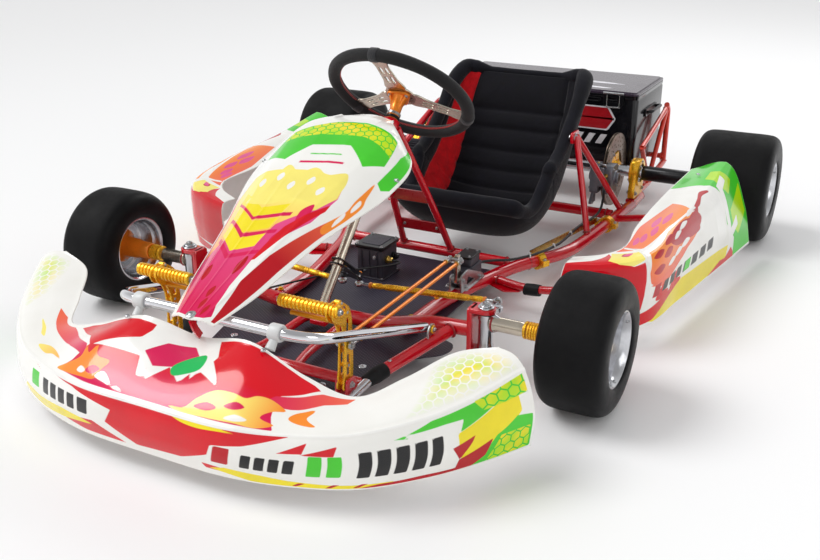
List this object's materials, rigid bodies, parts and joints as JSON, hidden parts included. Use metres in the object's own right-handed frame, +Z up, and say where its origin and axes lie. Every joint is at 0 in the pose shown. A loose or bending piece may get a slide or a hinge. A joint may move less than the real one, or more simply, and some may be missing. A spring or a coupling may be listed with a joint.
{
  "type": "electric racing kart chassis",
  "caption": "Open racing kart chassis with tubular frame, plastic bodywork, bucket seat, steering, pedals, slick tyres and a rear battery box.",
  "frame": {"origin": "on the ground under the middle of the kart", "axes": "+X to the driver's left, -Y forwards, +Z up"},
  "size_m": [1.385, 1.973, 0.5728],
  "materials": {
    "frame_paint": "deep candy red gloss paint over a dark base",
    "carrier_paint": "orange red gloss paint",
    "bodywork": "glossy white moulded plastic with printed red, orange, yellow and green graphics",
    "chrome_tube": "bright chrome",
    "polished_alloy": "polished and lightly brushed alloy",
    "steel": "nickel plated steel",
    "gold_alloy": "gold anodised alloy",
    "orange_alloy": "orange anodised alloy",
    "tyre_rubber": "matt black slick rubber",
    "tray_sheet": "dark sheet with a fine chequer grain",
    "black_shell": "black glass fibre shell",
    "seat_fabric": "black padded fabric with a red side stripe",
    "suede": "black suede with red stitching",
    "black_metal": "satin black coating",
    "grey_cast": "grey cast alloy",
    "disc_iron": "brown grey ground iron",
    "box_black": "black gloss box with a plum grey lid",
    "cell_casing": "blue grey shrink wrap",
    "cable_black": "black rubber hose",
    "cable_orange": "orange high voltage cable sleeve"
  },
  "bodies": {
    "root": {"rail_left": "frame_paint", "rail_right": "frame_paint", "front_frame": "frame_paint", "steering_support": "frame_paint", "rear_cross": "frame_paint", "seat_stay_left": "frame_paint", "seat_stay_right": "frame_paint", "side_bar_left": "frame_paint", "side_bar_right": "frame_paint", "floor_tray": "tray_sheet", "upper_bumper": "chrome_tube", "nose_fairing": "bodywork", "front_panel": "bodywork", "side_pod_left": "bodywork", "side_pod_right": "bodywork", "seat_shell": "black_shell", "seat_pad": "seat_fabric", "bearing_left": "gold_alloy", "bearing_right": "gold_alloy", "brake_caliper": "grey_cast", "brake_master": "black_metal", "throttle_box": "grey_cast", "motor": "black_metal", "drive_chain": "steel", "battery_box": "box_black", "battery_pack": "cell_casing", "box_frame": "carrier_paint", "power_cable": "cable_orange", "brake_hose": "cable_black"},
    "steering": {"steering_rim": "suede", "steering_spokes": "steel", "steering_hub": "orange_alloy", "steering_column": "steel"},
    "spindle_left": {"spindle_left": "steel"},
    "spindle_right": {"spindle_right": "steel"},
    "tie_rod_left": {"tie_rod_left": "gold_alloy"},
    "tie_rod_right": {"tie_rod_right": "gold_alloy"},
    "front_wheel_left": {"front_tyre_left": "tyre_rubber", "front_rim_left": "polished_alloy", "front_hub_left": "orange_alloy"},
    "front_wheel_right": {"front_tyre_right": "tyre_rubber", "front_rim_right": "polished_alloy", "front_hub_right": "orange_alloy"},
    "rear_axle": {"rear_axle": "steel", "rear_hub_left": "black_metal", "rear_hub_right": "black_metal", "rear_rim_left": "polished_alloy", "rear_rim_right": "polished_alloy", "rear_tyre_left": "tyre_rubber", "rear_tyre_right": "tyre_rubber", "brake_disc": "disc_iron", "sprocket": "gold_alloy"},
    "motor_pinion": {"motor_pinion": "steel"},
    "brake_pedal": {"brake_pedal": "gold_alloy"},
    "brake_rod": {"brake_rod": "orange_alloy"},
    "brake_lever": {"brake_lever": "steel"},
    "throttle_pedal": {"throttle_pedal": "gold_alloy"},
    "box_lid": {"box_lid": "box_black"},
    "latch_left": {"latch_left": "steel"},
    "latch_right": {"latch_right": "steel"}
  },
  "joints": [
    {"name": "steering_turn", "type": "hinge", "parent": "root", "child": "steering", "pos_m": [0, -0.1195, 0.4565], "axis": [0, 0.682, 0.7314], "range_deg": [-28, 28]},
    {"name": "spindle_left_turn", "type": "hinge", "parent": "root", "child": "spindle_left", "pos_m": [0.349, -0.4385, 0.12591], "axis": [0, 0, 1], "range_deg": [-17.5, 17.5]},
    {"name": "tie_rod_left_swivel", "type": "hinge", "parent": "spindle_left", "child": "tie_rod_left", "pos_m": [0.329, -0.3355, 0.1225], "axis": [0, 0, 1], "range_deg": [-17.5, 17.5]},
    {"name": "front_wheel_left_spin", "type": "hinge", "parent": "spindle_left", "child": "front_wheel_left", "pos_m": [0.5475, -0.4385, 0.12591], "axis": [1, 0, 0], "continuous": true},
    {"name": "spindle_right_turn", "type": "hinge", "parent": "root", "child": "spindle_right", "pos_m": [-0.349, -0.4385, 0.12591], "axis": [0, 0, 1], "range_deg": [-17.5, 17.5]},
    {"name": "tie_rod_right_swivel", "type": "hinge", "parent": "spindle_right", "child": "tie_rod_right", "pos_m": [-0.329, -0.3355, 0.1225], "axis": [0, 0, 1], "range_deg": [-17.5, 17.5]},
    {"name": "front_wheel_right_spin", "type": "hinge", "parent": "spindle_right", "child": "front_wheel_right", "pos_m": [-0.5475, -0.4385, 0.12591], "axis": [1, 0, 0], "continuous": true},
    {"name": "rear_axle_spin", "type": "hinge", "parent": "root", "child": "rear_axle", "pos_m": [0, 0.6115, 0.13632], "axis": [1, 0, 0], "continuous": true},
    {"name": "motor_pinion_spin", "type": "hinge", "parent": "root", "child": "motor_pinion", "pos_m": [-0.29, 0.3615, 0.15], "axis": [1, 0, 0], "continuous": true},
    {"name": "brake_pedal_press", "type": "hinge", "parent": "root", "child": "brake_pedal", "pos_m": [0.192, -0.6885, 0.078], "axis": [1, 0, 0], "range_deg": [0, 14], "stiffness_Nm_per_rad": 12, "springref_deg": -1.72},
    {"name": "brake_rod_swivel", "type": "hinge", "parent": "brake_pedal", "child": "brake_rod", "pos_m": [0.192, -0.6815, 0.15], "axis": [1, 0, 0], "range_deg": [-15, 0]},
    {"name": "brake_lever_pull", "type": "hinge", "parent": "root", "child": "brake_lever", "pos_m": [0.19, -0.2245, 0.101], "axis": [1, 0, 0], "range_deg": [0, 21]},
    {"name": "throttle_pedal_press", "type": "hinge", "parent": "root", "child": "throttle_pedal", "pos_m": [-0.192, -0.6885, 0.078], "axis": [1, 0, 0], "range_deg": [0, 10], "stiffness_Nm_per_rad": 8, "springref_deg": -1.72},
    {"name": "box_lid_open", "type": "hinge", "parent": "root", "child": "box_lid", "pos_m": [0, 0.9865, 0.328], "axis": [-1, 0, 0], "range_deg": [0, 100]},
    {"name": "latch_left_flip", "type": "hinge", "parent": "box_lid", "child": "latch_left", "pos_m": [0.226, 0.7065, 0.3232], "axis": [-1, 0, 0], "range_deg": [0, 110]},
    {"name": "latch_right_flip", "type": "hinge", "parent": "box_lid", "child": "latch_right", "pos_m": [-0.226, 0.7065, 0.3232], "axis": [-1, 0, 0], "range_deg": [0, 110]}
  ],
  "couplings": [
    {"joint": "spindle_left_turn", "follows": "steering_turn", "ratio": 0.602},
    {"joint": "tie_rod_left_swivel", "follows": "steering_turn", "ratio": -0.602},
    {"joint": "spindle_right_turn", "follows": "steering_turn", "ratio": 0.602},
    {"joint": "tie_rod_right_swivel", "follows": "steering_turn", "ratio": -0.602},
    {"joint": "motor_pinion_spin", "follows": "rear_axle_spin", "ratio": 5.6087},
    {"joint": "brake_rod_swivel", "follows": "brake_pedal_press", "ratio": -1},
    {"joint": "brake_lever_pull", "follows": "brake_pedal_press", "ratio": 1.44}
  ]
}
